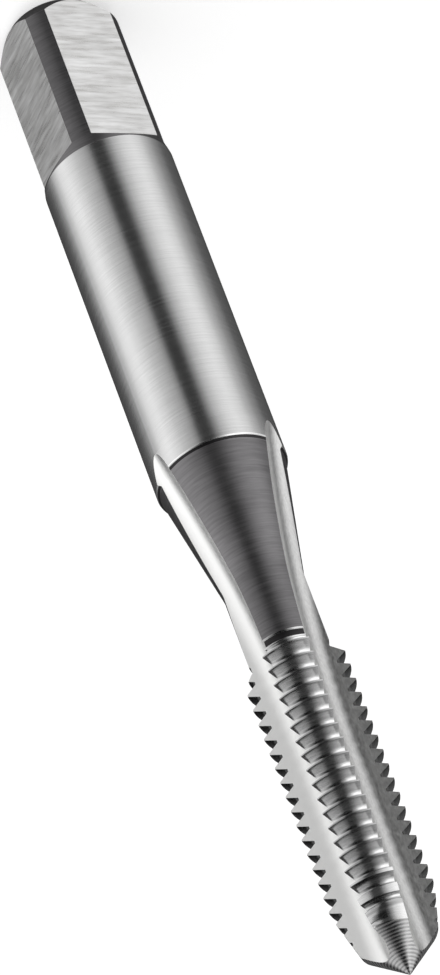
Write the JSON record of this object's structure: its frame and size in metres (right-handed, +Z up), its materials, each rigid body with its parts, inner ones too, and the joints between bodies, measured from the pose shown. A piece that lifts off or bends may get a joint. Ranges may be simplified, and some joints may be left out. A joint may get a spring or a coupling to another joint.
{
  "type": "thread tap",
  "caption": "Straight-fluted hand tap with a square drive end, a plain shank thicker than the thread, a reduced neck and a tapered lead.",
  "frame": {"origin": "middle of the end face of the square drive end, on the tap's axis", "axes": "+Z up along the tap's axis towards its point, -Y towards the side that the picture shows"},
  "size_m": [0.0054, 0.0054, 0.0484],
  "materials": {
    "tool_steel": "ground, bright"
  },
  "bodies": {
    "root": {"thread_tap": "tool_steel"}
  },
  "joints": []
}
